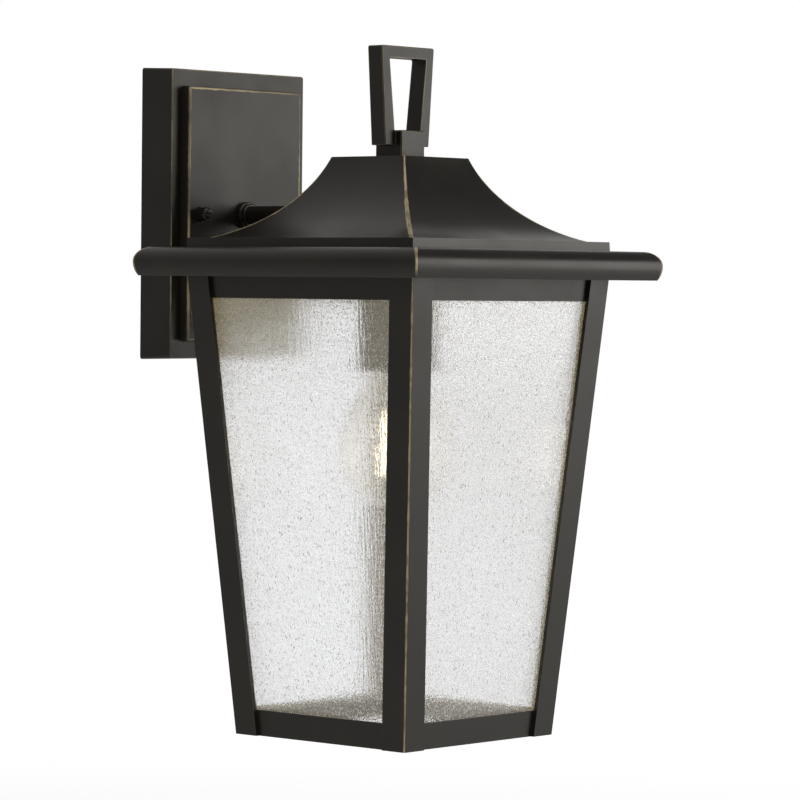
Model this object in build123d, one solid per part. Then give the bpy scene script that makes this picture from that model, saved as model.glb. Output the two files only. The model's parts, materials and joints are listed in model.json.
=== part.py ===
from build123d import *
import os
from math import radians, sqrt, tan

os.makedirs("parts", exist_ok=True)

# Millimetres. The origin is the middle of the backplate on the wall plane y = 0.
# The lantern stands out from the wall along -Y, and Z is up.

# Fits
running_fit = 0.05
thread_fit = 0.02
loose_fit = 0.3

# Strap on the junction box
box_screw_spacing = 79.4
box_slot_length = 14.0
box_slot_width = 4.8
strap_length = 106.0
strap_width = 22.0
strap_thickness = 2.0
eyelet_bore = 3.6
eyelet_wall = 1.2
eyelet_flange = 7.0
eyelet_flange_thickness = 0.8

# Fixture screws and their thumb nuts
fixture_spacing = 69.85
fixture_screw_radius = 2.08
screw_head_radius = 3.6
screw_hole_play = 0.4
stud_bar_length = 86.0
screw_slot_width = 1.0
screw_slot_depth = 0.9
lock_nut_flats = 8.0
lock_nut_thickness = 3.2
nut_face_share = 0.95
nut_bevel_angle = 30.0
cap_nut_radius = 4.1
cap_nut_length = 6.9
cap_nut_foot = 1.3
cap_nut_waist = 3.7
cap_nut_dome = 2.0
cap_nut_crown = 2.0
cap_nut_flutes = 14
cap_nut_flute_radius = 0.45
cap_nut_slot_width = 1.2
cap_nut_slot_depth = 1.2
screw_tip_gap = 0.6
ground_screw_x = 17.0
ground_screw_radius = 2.4
ground_head_radius = 4.4
ground_head_thickness = 3.0
ground_recess_radius = 1.8
ground_recess_depth = 1.5

# Backplate
pan_width = 104.2
pan_height = 157.4
pan_depth = 22.4
pan_draft = 0.8
pan_wall = 1.1
pan_corner = 1.5
pan_edge = 0.6
plate_width = 88.2
plate_height = 137.8
plate_depth = 5.5
plate_draft = 0.7
plate_wall = 1.1
plate_corner = 1.5
plate_edge = 0.6
arm_pad_radius = 9.0
screw_pad_radius = 6.0

# Arm
arm_radius = 5.0
arm_bore = 3.6
collar_radius = 7.2
collar_step_radius = 6.2
collar_length = 3.0
collar_step_length = 2.2
collar_edge = 0.5
pipe_nut_flats = 14.0
pipe_nut_thickness = 4.0
pipe_end_out = 1.5

# Lantern placing
lantern_reach = 141.4
moulding_drop = 33.9

# Roof
roof_top_half = 26.0
roof_rise = 43.7
roof_base_half = 71.6
roof_curve_radius = 73.2
roof_wall = 2.2
rim_half = 79.6
rim_draft = 0.2
rim_height = 5.0
hip_round = 0.8
boss_half = 9.0
boss_face_half = 33.0

# Finial
stem_half = 9.3
stem_height = 14.3
stem_edge = 0.5
stem_screw_depth = 9.0
loop_top_width = 42.0
loop_foot_width = 34.6
loop_top_height = 58.8
loop_foot_height = 6.2
loop_bar = 6.2
loop_depth = 10.3
loop_outer_corner = 1.2
loop_inner_corner = 1.0
loop_edge = 0.4
loop_gap_half = 10.4

# Moulding
moulding_half = 100.0
moulding_height = 15.3
moulding_upper_height = 8.4
moulding_upper_reach = 7.0
moulding_foot_in = 2.1
moulding_foot_bow = 0.5
moulding_inner_half = 72.0
moulding_wall = 1.5

# Cage
cage_top_half = 79.75
cage_bottom_half = 60.0
cage_height = 243.5
post_width = 15.5
post_thickness = 2.2
post_edge = 0.6
rail_thickness = 1.6
top_rail_height = 11.4
bottom_rail_height = 13.9
shelf_half = 60.0
channel_depth = 5.0
lip_thickness = 1.4

# Glass
pane_thickness = 3.0
pane_play = 0.2
pane_top_gap = 2.0
pane_end_gap = 3.0

# Lamp holder
bridge_width = 20.0
bridge_thickness = 2.0
bridge_half = 71.0
bridge_screw_at = 66.0
bridge_screw_radius = 2.0
bridge_screw_head_radius = 3.8
bridge_screw_head = 2.4
wire_hole_x = 12.0
wire_hole_radius = 3.0
cup_radius = 20.0
cup_wall = 1.2
cup_top = 1.5
cup_shoulder = 4.0
cup_height = 49.2
holder_gap = 0.4
holder_height = 34.0
rod_bore = 3.2
rod_grip = 5.0
holder_web = 3.0
shell_wall = 0.6
shell_flange = 9.0
contact_radius = 4.0
contact_thickness = 1.0

# Bulb
bulb_radius = 30.0
bulb_length = 108.0
bulb_base_radius = 13.0
bulb_base_length = 26.0
bulb_neck_radius = 13.4
bulb_glass = 0.8
base_wall = 0.5
insulator_height = 3.5
insulator_top_radius = 7.0
tip_radius = 4.5
tip_crown_radius = 2.7
tip_height = 1.5
tip_contact_gap = 0.1
mount_disc = 1.0
mount_flare = 9.0
mount_radius = 3.0
mount_length = 25.5
lead_radius = 0.4
lead_root = 1.6
lead_drop = 5.0
lead_grip = 1.0
filament_count = 4
filament_radius = 0.9
filament_height = 34.0
filament_top_ring = 4.5
filament_foot_ring = 7.5

# Places worked out from the sizes above
plate_face = pan_depth + plate_depth
cage_top = -moulding_drop
cage_bottom = cage_top - cage_height
roof_foot = cage_top + moulding_height
roof_ledge = roof_foot + rim_height
roof_top = roof_ledge + roof_rise
stem_top = roof_top + stem_height
bridge_top = cage_top + bridge_thickness
cup_floor = cage_top - cup_top
holder_top = cup_floor - pipe_nut_thickness
rod_end = holder_top - rod_grip
contact_top = rod_end - holder_web
bulb_tip_z = contact_top - contact_thickness - tip_contact_gap
shell_bore = bulb_base_radius + loose_fit
pane_depth = post_thickness + rail_thickness + pane_play
lip_depth = pane_depth + pane_thickness + pane_play
wedge_reach = moulding_half + moulding_height

hang = Pos(0, -lantern_reach, 0)
side_names = ("front", "right", "back", "left")
corner_names = ("front_left", "front_right", "back_right", "back_left")


def save(name, shape):
    """Write one node."""
    shape.label = name
    export_step(shape, f"parts/{name}.step")


def save_group(name, shapes):
    """Write identical pieces as one node."""
    save(name, Compound(children=list(shapes)))


def box_between(low, high):
    """A box from its two opposite corners."""
    size = [b - a for a, b in zip(low, high)]
    middle = [(a + b) / 2 for a, b in zip(low, high)]
    return Pos(*middle) * Box(*size)


def out_from_wall(x, distance, z=0):
    """Turns a piece built upwards from its foot so that it points away from the wall."""
    return Pos(x, -distance, z) * Rot(90, 0, 0)


def pin(radius, length):
    """A round pin standing on its foot."""
    return extrude(Circle(radius), length)


def ring(outer, inner, length):
    """A tube standing on its foot."""
    return extrude(Circle(outer) - Circle(inner), length)


def turned(*points):
    """A solid of revolution round the Z axis from (radius, height) points."""
    return revolve(Plane.XZ * make_face(Polyline(*points, close=True)), Axis.Z)


def hex_nut(flats, bore, thickness):
    """A six-sided nut standing on its face, with its corners bevelled at both ends."""
    outline = RegularPolygon(flats / 2, 6, major_radius=False)
    face = nut_face_share * flats / 2
    corner = flats / sqrt(3)
    bevel = (corner - face) * tan(radians(nut_bevel_angle))
    barrel = turned(
        (0, 0),
        (face, 0),
        (corner, bevel),
        (corner, thickness - bevel),
        (face, thickness),
        (0, thickness),
    )
    return extrude(outline - Circle(bore), thickness) & barrel


def driver_slot(reach, width, depth):
    """The groove for a screwdriver across a head, standing on its floor."""
    return box_between((-reach, -width / 2, 0), (reach, width / 2, depth))


def rod_between(start, end, radius):
    """A thin round rod from one point to another."""
    path = Vector(*end) - Vector(*start)
    return extrude(Plane(origin=start, z_dir=path) * Circle(radius), path.length)


# Wall strap

strap = box_between(
    (-strap_width / 2, -strap_thickness, -strap_length / 2),
    (strap_width / 2, 0, strap_length / 2),
)
slot = Rot(0, 0, 90) * SlotOverall(box_slot_length, box_slot_width)
for side in (-1, 1):
    place = out_from_wall(0, 0, side * box_screw_spacing / 2)
    strap -= place * extrude(slot, strap_thickness)
strap -= out_from_wall(0, 0) * pin(eyelet_bore + eyelet_wall, strap_thickness)
save("box_strap", strap)

bar_back = strap_thickness
bar_face = bar_back + strap_thickness
stud_bar = box_between(
    (-stud_bar_length / 2, -bar_face, -strap_width / 2),
    (stud_bar_length / 2, -bar_back, strap_width / 2),
)
stud_bar -= out_from_wall(0, bar_back) * pin(eyelet_bore + eyelet_wall, strap_thickness)
ground_hole = pin(ground_screw_radius + thread_fit, strap_thickness)
stud_bar -= out_from_wall(ground_screw_x, bar_back) * ground_hole
for side in (-1, 1):
    tapped = pin(fixture_screw_radius + thread_fit, strap_thickness)
    stud_bar -= out_from_wall(side * fixture_spacing / 2, bar_back) * tapped
save("stud_bar", stud_bar)

eyelet = out_from_wall(0, 0) * ring(eyelet_bore + eyelet_wall, eyelet_bore, bar_face)
eyelet += out_from_wall(0, bar_face) * ring(eyelet_flange, eyelet_bore, eyelet_flange_thickness)
save("strap_eyelet", eyelet)

ground = out_from_wall(ground_screw_x, bar_back) * pin(ground_screw_radius, strap_thickness)
ground += out_from_wall(ground_screw_x, bar_face) * hex_nut(
    2 * ground_head_radius, ground_recess_radius, ground_head_thickness
)
ground += out_from_wall(ground_screw_x, bar_face) * pin(
    ground_screw_radius, ground_head_thickness - ground_recess_depth
)
save("ground_screw", ground)

screw_end = plate_face + cap_nut_length - cap_nut_crown - screw_tip_gap
screws = []
lock_nuts = []
for side in (-1, 1):
    place = out_from_wall(side * fixture_spacing / 2, 0)
    screw = pin(screw_head_radius, bar_back) + pin(fixture_screw_radius, screw_end)
    screws.append(place * (screw - driver_slot(screw_head_radius, screw_slot_width, screw_slot_depth)))
    nut = hex_nut(lock_nut_flats, fixture_screw_radius + thread_fit, lock_nut_thickness)
    lock_nuts.append(out_from_wall(side * fixture_spacing / 2, bar_face) * nut)
save_group("fixture_screws", screws)
save_group("screw_lock_nuts", lock_nuts)


# Backplate


def drafted_block(width, height, start, depth, draft, corner):
    """A block that narrows from the plane nearer the wall to its front face."""
    back = RectangleRounded(width + 2 * draft, height + 2 * draft, corner)
    front = RectangleRounded(width, height, corner)
    near_wall = Plane.XZ.offset(start) * back
    return loft([near_wall, Plane.XZ.offset(start + depth) * front], ruled=True)


def drafted_tray(width, height, start, depth, draft, corner, wall, edge):
    """A thin-walled tray, open to the wall, with a softened front edge."""
    outer = drafted_block(width, height, start, depth, draft, corner)
    outer = fillet(outer.faces().sort_by(Axis.Y)[0].edges(), edge)
    inner_size = (width - 2 * wall, height - 2 * wall)
    return outer - drafted_block(*inner_size, start, depth - wall, draft, corner - wall)


screw_hole = fixture_screw_radius + screw_hole_play
arm_hole = arm_radius + running_fit

pan = drafted_tray(
    pan_width, pan_height, 0, pan_depth, pan_draft, pan_corner, pan_wall, pan_edge
)
plate = drafted_tray(
    plate_width, plate_height, pan_depth, plate_depth, plate_draft, plate_corner, plate_wall, plate_edge
)
plate += out_from_wall(0, pan_depth) * pin(arm_pad_radius, plate_depth - plate_wall)
for side in (-1, 1):
    pad = pin(screw_pad_radius, plate_depth - plate_wall)
    plate += out_from_wall(side * fixture_spacing / 2, pan_depth) * pad
for x, radius in ((0, arm_hole), (-fixture_spacing / 2, screw_hole), (fixture_spacing / 2, screw_hole)):
    drill = out_from_wall(x, 0) * pin(radius, plate_face)
    pan -= drill
    plate -= drill
save("backplate_pan", pan)
save("raised_plate", plate)

nut_bore = fixture_screw_radius + running_fit
bore_end = cap_nut_length - cap_nut_crown
dome_foot = cap_nut_length - cap_nut_dome
cap_nut = turned(
    (0, cap_nut_length),
    (0, bore_end),
    (nut_bore, bore_end),
    (nut_bore, 0),
    (cap_nut_radius, 0),
    (cap_nut_radius, cap_nut_foot),
    (cap_nut_waist, cap_nut_foot),
    (cap_nut_waist, cap_nut_length),
)
cap_nut = fillet(cap_nut.edges().group_by(Axis.Z)[-1], cap_nut_dome)
flute = Pos(cap_nut_waist, 0, cap_nut_foot) * pin(cap_nut_flute_radius, dome_foot - cap_nut_foot)
for turn in range(cap_nut_flutes):
    cap_nut -= Rot(0, 0, 360 * turn / cap_nut_flutes) * flute
cap_nut -= Pos(0, 0, cap_nut_length - cap_nut_slot_depth) * driver_slot(
    cap_nut_radius, cap_nut_slot_width, cap_nut_slot_depth
)
save("cap_nut_left", out_from_wall(-fixture_spacing / 2, plate_face) * cap_nut)
save("cap_nut_right", out_from_wall(fixture_spacing / 2, plate_face) * cap_nut)


# Arm

pan_inside = pan_depth - pan_wall
arm_start = pan_inside - pipe_nut_thickness - pipe_end_out
boss_face = lantern_reach - boss_face_half
arm_end = boss_face + pipe_nut_thickness + pipe_end_out
save("arm_tube", out_from_wall(0, arm_start) * ring(arm_radius, arm_bore, arm_end - arm_start))

collar_top = collar_length + collar_step_length
collar = turned(
    (arm_hole, 0),
    (collar_radius, 0),
    (collar_radius, collar_length - collar_edge),
    (collar_radius - collar_edge, collar_length),
    (collar_step_radius, collar_length),
    (collar_step_radius, collar_top - collar_edge),
    (collar_step_radius - collar_edge, collar_top),
    (arm_hole, collar_top),
)
save("arm_collar", out_from_wall(0, plate_face) * collar)

pipe_nut = hex_nut(pipe_nut_flats, arm_hole, pipe_nut_thickness)
rod_nut_feet = (roof_top - roof_wall - pipe_nut_thickness, bridge_top, holder_top)
pipe_nuts = [
    out_from_wall(0, pan_inside - pipe_nut_thickness) * pipe_nut,
    out_from_wall(0, boss_face) * pipe_nut,
]
pipe_nuts += [hang * Pos(0, 0, foot) * pipe_nut for foot in rod_nut_feet]
save_group("pipe_lock_nuts", pipe_nuts)


# Roof


def arc_middle(start, end, radius):
    """The centre of the arc that joins two points and bends in towards the axis between them."""
    half_chord = ((end[0] - start[0]) / 2, (end[1] - start[1]) / 2)
    half_length = sqrt(half_chord[0] ** 2 + half_chord[1] ** 2)
    rise = sqrt(radius**2 - half_length**2)
    across = (-half_chord[1] / half_length, half_chord[0] / half_length)
    return (
        start[0] + half_chord[0] + across[0] * rise,
        start[1] + half_chord[1] + across[1] * rise,
    )


roof_start = (roof_top_half, roof_top)
roof_end = (roof_base_half, roof_ledge)
curve_x, curve_z = arc_middle(roof_start, roof_end, roof_curve_radius)


def slope_half(z, depth=0):
    """Half the roof's width at a height, measured on a surface so deep under the outside."""
    radius = roof_curve_radius + depth
    return curve_x - sqrt(radius**2 - (curve_z - z) ** 2)


def four_sided(outline):
    """A solid with a square plan whose half width follows an outline of (half width, height)."""
    half = make_face(outline)
    across = extrude(Plane.YZ * (half + mirror(half, Plane.YZ)), wedge_reach, both=True)
    return across & (Rot(0, 0, 90) * across)


def slope(z_top, z_foot, depth):
    """The roof's curve between two heights."""
    z_mid = (z_top + z_foot) / 2
    heights = (z_top, z_mid, z_foot)
    return ThreePointArc(*[(slope_half(z, depth), z) for z in heights])


roof_body = four_sided(
    slope(roof_top, roof_ledge, 0)
    + Polyline(
        roof_end,
        (rim_half, roof_ledge),
        (rim_half + rim_draft, roof_foot),
        (0, roof_foot),
        (0, roof_top),
        roof_start,
    )
)
hollow_top = roof_top - roof_wall
hollow_ledge = roof_ledge - roof_wall
hollow_rim = rim_half - roof_wall
roof_hollow = four_sided(
    slope(hollow_top, hollow_ledge, roof_wall)
    + Polyline(
        (slope_half(hollow_ledge, roof_wall), hollow_ledge),
        (hollow_rim, hollow_ledge),
        (hollow_rim, roof_foot),
        (0, roof_foot),
        (0, hollow_top),
        (slope_half(hollow_top, roof_wall), hollow_top),
    )
)
boss_block = box_between((-boss_half, boss_face_half, -boss_half), (boss_half, rim_half, boss_half))
hips = [e for e in roof_body.edges() if e.geom_type != GeomType.LINE]
hips = [e for e in hips if e.bounding_box().size.Z > roof_rise / 2]
rounded_body = fillet(hips, hip_round)
roof = rounded_body - roof_hollow + (boss_block & rounded_body)
roof -= Pos(0, 0, hollow_top) * pin(arm_hole, roof_wall)
roof -= Pos(0, boss_face_half, 0) * Rot(-90, 0, 0) * pin(arm_radius + thread_fit, rim_half)
save("roof_shell", hang * roof)


# Finial

stem = box_between((-stem_half, -stem_half, roof_top), (stem_half, stem_half, stem_top))
stem_sides = stem.edges().filter_by(Axis.Z)
stem = chamfer(stem_sides + stem.edges().group_by(Axis.Z)[-1], stem_edge)
stem -= Pos(0, 0, roof_top) * pin(arm_radius + thread_fit, stem_screw_depth)
save("finial_stem", hang * stem)

loop_top = roof_top + loop_top_height
loop_foot = roof_top + loop_foot_height
opening_top = loop_top - loop_bar
opening_top_half = loop_top_width / 2 - loop_bar
loop_outline = Polygon(
    (-loop_foot_width / 2, loop_foot),
    (loop_foot_width / 2, loop_foot),
    (loop_top_width / 2, loop_top),
    (-loop_top_width / 2, loop_top),
    align=None,
)
loop_outline = fillet(loop_outline.vertices().group_by(Axis.Y)[-1], loop_outer_corner)
opening = Polygon(
    (-loop_gap_half, stem_top),
    (loop_gap_half, stem_top),
    (opening_top_half, opening_top),
    (-opening_top_half, opening_top),
    align=None,
)
opening = fillet(opening.vertices().group_by(Axis.Y)[-1], loop_inner_corner)
loop = extrude(Plane.XZ * (loop_outline - opening), loop_depth / 2, both=True)
loop_rims = loop.faces().sort_by(Axis.Y)
loop = chamfer(loop_rims[0].outer_wire().edges() + loop_rims[-1].outer_wire().edges(), loop_edge)
loop -= box_between((-stem_half, -stem_half, roof_top), (stem_half, stem_half, stem_top))
save("finial_loop", hang * loop)

rod_top = roof_top + stem_screw_depth - pipe_end_out
rod = Pos(0, 0, rod_end) * ring(arm_radius, rod_bore, rod_top - rod_end)
save("centre_rod", hang * rod)


# Cage


def half_at(z):
    """Half the cage's outside width at a height."""
    share = (z - cage_bottom) / cage_height
    return cage_bottom_half + share * (cage_top_half - cage_bottom_half)


def inward(depth, z):
    """A point of a side's section, so deep behind the cage's outside face."""
    return (half_at(z) - depth, z)


side_plane = Plane(origin=(0, 0, 0), x_dir=(0, -1, 0), z_dir=(-1, 0, 0))
wedge_plan = Polygon((0, 0), (-wedge_reach, -wedge_reach), (wedge_reach, -wedge_reach), align=None)
wedge = Pos(0, 0, cage_bottom) * extrude(wedge_plan, cage_height + 2 * moulding_height)


def side_bar(section, end_gap=0):
    """A bar along the front side, cut at both ends on the diagonals or so far short of them."""
    bar = extrude(side_plane * make_face(section), wedge_reach, both=True)
    return bar & (Pos(0, -end_gap, 0) * wedge)


def save_sides(name, front_piece):
    """Write the same piece for all four sides."""
    for turn, side in enumerate(side_names):
        save(f"{name}_{side}", hang * Rot(0, 0, 90 * turn) * front_piece)


def moulding_curve(inset):
    """The bullnose from top to foot, so deep under its outside."""
    nose = (moulding_half - inset, roof_foot - moulding_upper_height)
    crown_z = roof_foot - inset
    crown = (moulding_half - moulding_upper_reach, crown_z)
    bend = 1 - sqrt(0.5)
    shoulder = (
        nose[0] - bend * (nose[0] - crown[0]),
        crown_z - bend * (crown_z - nose[1]),
    )
    foot = (moulding_half - moulding_foot_in - inset, cage_top + inset)
    cheek = ((nose[0] + foot[0]) / 2 + moulding_foot_bow, (nose[1] + foot[1]) / 2)
    return ThreePointArc(crown, shoulder, nose) + ThreePointArc(nose, cheek, foot)


moulding_out = moulding_curve(0)
moulding_in = moulding_curve(moulding_wall)
moulding_section = moulding_out + moulding_in
crown_half = moulding_half - moulding_upper_reach
foot_half = moulding_half - moulding_foot_in
moulding_section += Polyline(
    (crown_half, roof_foot),
    (moulding_inner_half, roof_foot),
    (moulding_inner_half, roof_foot - moulding_wall),
    (crown_half, roof_foot - moulding_wall),
)
moulding_section += Polyline(
    (foot_half, cage_top),
    (moulding_inner_half, cage_top),
    (moulding_inner_half, cage_top + moulding_wall),
    (foot_half - moulding_wall, cage_top + moulding_wall),
)
save_sides("moulding", side_bar(moulding_section))


def post_plan(z):
    """The angle section of the front left post at a height."""
    edge = -half_at(z)
    inside = edge + post_thickness
    end = edge + post_width
    plan = Polygon(
        (edge, edge), (end, edge), (end, inside), (inside, inside), (inside, end), (edge, end), align=None
    )
    return Pos(0, 0, z) * plan


post = loft([post_plan(cage_bottom), post_plan(cage_top)], ruled=True)
post_arris = [e for e in post.edges() if e.length > cage_height]
post_arris = sorted(post_arris, key=lambda e: e.center().X + e.center().Y)[0]
post = chamfer(post_arris, post_edge)
for turn, corner in enumerate(corner_names):
    save(f"post_{corner}", hang * Rot(0, 0, 90 * turn) * post)

rail_back = post_thickness + rail_thickness
lip_back = lip_depth + lip_thickness
top_rail_foot = cage_top - top_rail_height
shelf_foot = cage_top - rail_thickness
top_rail = side_bar(
    Polyline(
        inward(post_thickness, cage_top),
        inward(post_thickness, top_rail_foot),
        inward(rail_back, top_rail_foot),
        inward(rail_back, shelf_foot),
        inward(lip_depth, shelf_foot),
        inward(lip_depth, top_rail_foot),
        inward(lip_back, top_rail_foot),
        inward(lip_back, shelf_foot),
        (shelf_half, shelf_foot),
        (shelf_half, cage_top),
        close=True,
    )
)
tapped = pin(bridge_screw_radius + thread_fit, rail_thickness)
save_sides("top_rail", top_rail - Pos(0, -bridge_screw_at, shelf_foot) * tapped)

bottom_rail_top = cage_bottom + bottom_rail_height
channel_floor = cage_bottom + bottom_rail_height - channel_depth - rail_thickness
lip_top = channel_floor + channel_depth
save_sides(
    "bottom_rail",
    side_bar(
        Polyline(
            inward(post_thickness, cage_bottom),
            inward(post_thickness, bottom_rail_top),
            inward(rail_back, bottom_rail_top),
            inward(rail_back, channel_floor),
            inward(lip_depth, channel_floor),
            inward(lip_depth, lip_top),
            inward(lip_back, lip_top),
            inward(lip_back, channel_floor - rail_thickness),
            inward(rail_back, channel_floor - rail_thickness),
            inward(rail_back, cage_bottom),
            close=True,
        )
    ),
)

pane_top = shelf_foot - pane_top_gap
pane_back = pane_depth + pane_thickness
save_sides(
    "pane",
    side_bar(
        Polyline(
            inward(pane_depth, channel_floor),
            inward(pane_depth, pane_top),
            inward(pane_back, pane_top),
            inward(pane_back, channel_floor),
            close=True,
        ),
        pane_end_gap,
    ),
)


# Lamp holder

bridge = box_between(
    (-bridge_half, -bridge_width / 2, cage_top), (bridge_half, bridge_width / 2, bridge_top)
)
bridge -= Pos(0, 0, cage_top) * pin(arm_hole, bridge_thickness)
screw_length = bridge_thickness + rail_thickness
screw_top = bridge_thickness + bridge_screw_head
bridge_screws = []
for side in (-1, 1):
    place = Pos(side * bridge_screw_at, 0, cage_top)
    bridge -= place * pin(bridge_screw_radius + thread_fit, bridge_thickness)
    shank = Pos(0, 0, bridge_thickness - screw_length) * pin(bridge_screw_radius, screw_length)
    head = Pos(0, 0, bridge_thickness) * pin(bridge_screw_head_radius, bridge_screw_head)
    head -= Pos(0, 0, screw_top - screw_slot_depth) * driver_slot(
        bridge_screw_head_radius, screw_slot_width, screw_slot_depth
    )
    bridge_screws.append(hang * place * (shank + head))
wire_hole = Pos(wire_hole_x, 0, cup_floor) * pin(wire_hole_radius, cup_top + bridge_thickness)
save("socket_bridge", hang * (bridge - wire_hole))
save_group("bridge_screws", bridge_screws)

cup_foot = cage_top - cup_height
cup_inside = cup_radius - cup_wall
shoulder_in = cup_radius - cup_shoulder
cup = turned(
    (arm_hole, cage_top),
    (shoulder_in, cage_top),
    (cup_radius, cage_top - cup_shoulder),
    (cup_radius, cup_foot),
    (cup_inside, cup_foot),
    (cup_inside, cage_top - cup_shoulder),
    (shoulder_in, cup_floor),
    (arm_hole, cup_floor),
)
save("socket_cup", hang * (cup - wire_hole))

holder_radius = cup_inside - holder_gap
holder_foot = holder_top - holder_height
holder_bore = shell_bore + shell_wall
shell_top = contact_top - contact_thickness
holder = turned(
    (arm_radius + thread_fit, holder_top),
    (shoulder_in - holder_gap, holder_top),
    (holder_radius, cage_top - cup_shoulder - pipe_nut_thickness),
    (holder_radius, holder_foot),
    (holder_bore, holder_foot),
    (holder_bore, contact_top),
    (0, contact_top),
    (0, rod_end),
    (arm_radius + thread_fit, rod_end),
)
save("socket_body", hang * holder)
shell = turned(
    (shell_flange, contact_top),
    (holder_bore, contact_top),
    (holder_bore, holder_foot),
    (shell_bore, holder_foot),
    (shell_bore, contact_top - shell_wall),
    (shell_flange, contact_top - shell_wall),
)
save("socket_shell", hang * shell)
save("socket_contact", hang * Pos(0, 0, shell_top) * pin(contact_radius, contact_thickness))


# Bulb

tip_foot = bulb_tip_z - tip_height
base_top = tip_foot - insulator_height
base_foot = bulb_tip_z - bulb_base_length
bulb_end = bulb_tip_z - bulb_length
equator = bulb_end + bulb_radius


def globe_curve(inset):
    """The glass outline from neck to end, so deep under its outside."""
    neck = (bulb_neck_radius - inset, base_foot)
    belly = (bulb_radius - inset, equator)
    middle = (sqrt(0.5) * belly[0], equator - sqrt(0.5) * belly[0])
    shoulder = Spline(neck, belly, tangents=((0, -1), (0, -1)))
    return shoulder + ThreePointArc(belly, middle, (0, equator - belly[0]))


globe_outline = globe_curve(0) + globe_curve(bulb_glass)
globe_outline += Line((bulb_neck_radius, base_foot), (bulb_neck_radius - bulb_glass, base_foot))
globe_outline += Line((0, bulb_end), (0, bulb_end + bulb_glass))
save("bulb_globe", hang * revolve(Plane.XZ * make_face(globe_outline), Axis.Z))

base_bore = bulb_base_radius - base_wall
base = Pos(0, 0, base_foot) * ring(bulb_base_radius, base_bore, base_top - base_foot)
save("bulb_base", hang * base)
insulator = turned(
    (0, base_top),
    (bulb_base_radius, base_top),
    (insulator_top_radius, tip_foot),
    (0, tip_foot),
)
save("bulb_insulator", hang * insulator)
tip = turned((0, tip_foot), (tip_radius, tip_foot), (tip_crown_radius, bulb_tip_z), (0, bulb_tip_z))
save("bulb_tip", hang * tip)

mount_end = base_foot - mount_length
mount = turned(
    (0, base_foot),
    (base_bore, base_foot),
    (base_bore, base_foot - mount_disc),
    (mount_radius, base_foot - mount_disc - mount_flare),
    (mount_radius, mount_end),
    (0, mount_end),
)
save("bulb_mount", hang * mount)

filament_top = mount_end - lead_drop
filament_foot = filament_top - filament_height
stick_top = (filament_top_ring, 0, filament_top)
stick_foot = (filament_foot_ring, 0, filament_foot)
lead_end = (filament_top_ring, 0, filament_top - lead_grip)
spoke_end = (filament_foot_ring, 0, filament_foot + lead_grip)
stick = rod_between(stick_top, stick_foot, filament_radius)
stick += rod_between((lead_root, 0, mount_end), lead_end, lead_radius)
stick += rod_between((0, 0, filament_foot + lead_grip), spoke_end, lead_radius)
filament = Pos(0, 0, filament_foot) * pin(filament_radius, 2 * lead_grip)
for turn in range(filament_count):
    filament += Rot(0, 0, 360 * turn / filament_count) * stick
save("bulb_filament", hang * (filament - mount))
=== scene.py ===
# %% [markdown]
# An outdoor wall lantern: a tapered cage of four bronze posts with seeded glass,
# under a swept four-sided roof, hung on a short pipe from a stepped backplate.
# The imported model already holds each rigid piece at its true size and place, so
# this lesson dresses it. We keep the box of the bare model.

# %% Load the lantern
import json
import math

import bmesh
import bpy
from mathutils import Matrix, Vector


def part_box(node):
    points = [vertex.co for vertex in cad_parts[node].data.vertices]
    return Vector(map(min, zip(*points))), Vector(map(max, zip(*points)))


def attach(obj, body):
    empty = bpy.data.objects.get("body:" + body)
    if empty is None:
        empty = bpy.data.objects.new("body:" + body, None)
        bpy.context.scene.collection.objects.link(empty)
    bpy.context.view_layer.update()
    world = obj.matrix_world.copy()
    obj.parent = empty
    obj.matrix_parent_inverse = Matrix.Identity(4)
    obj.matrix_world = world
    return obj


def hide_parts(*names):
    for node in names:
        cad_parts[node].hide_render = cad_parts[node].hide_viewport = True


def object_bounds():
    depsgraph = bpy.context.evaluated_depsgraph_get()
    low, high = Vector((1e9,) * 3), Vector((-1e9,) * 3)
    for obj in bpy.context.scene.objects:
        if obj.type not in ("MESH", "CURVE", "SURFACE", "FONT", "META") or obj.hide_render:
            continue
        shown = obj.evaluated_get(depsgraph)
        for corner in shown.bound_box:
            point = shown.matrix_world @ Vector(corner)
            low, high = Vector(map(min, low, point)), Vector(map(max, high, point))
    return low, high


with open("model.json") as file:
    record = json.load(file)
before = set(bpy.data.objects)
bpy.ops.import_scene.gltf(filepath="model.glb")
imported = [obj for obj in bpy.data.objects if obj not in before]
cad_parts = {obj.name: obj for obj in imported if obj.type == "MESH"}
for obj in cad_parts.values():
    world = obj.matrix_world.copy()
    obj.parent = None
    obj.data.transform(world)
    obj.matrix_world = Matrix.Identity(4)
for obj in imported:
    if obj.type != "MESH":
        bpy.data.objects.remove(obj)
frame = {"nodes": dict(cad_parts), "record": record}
cad_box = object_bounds()
nodes = frame["nodes"]
print("lantern nodes:", len(nodes), "box:", cad_box)

# %% [markdown]
# The camera stands to the left of the lantern, almost level with the eaves and
# far away, so upright lines stay nearly upright. A camera can be aimed with a
# constraint, but here its three axes are worked out from azimuth, dip and roll:
# that keeps the view exact and needs no helper object.

# %% Camera
view_azimuth = math.radians(48.576)
view_dip = math.radians(1.671)
view_roll = math.radians(0.588)
view_distance = 2.0785
view_aside = 0.0013
view_height = -0.09884
focal_pixels = 3900.0
picture_pixels = 800
film_width = 36.0

post_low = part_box("post_front_left")[0]
far_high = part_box("post_back_right")[1]
lantern_axis = Vector(((post_low.x + far_high.x) / 2, (post_low.y + far_high.y) / 2, 0))

forward = Vector((
    math.sin(view_azimuth) * math.cos(view_dip),
    math.cos(view_azimuth) * math.cos(view_dip),
    -math.sin(view_dip),
))
level_right = Vector((math.cos(view_azimuth), -math.sin(view_azimuth), 0))
level_up = level_right.cross(forward)
camera_right = math.cos(view_roll) * level_right + math.sin(view_roll) * level_up
camera_up = camera_right.cross(forward)

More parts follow.
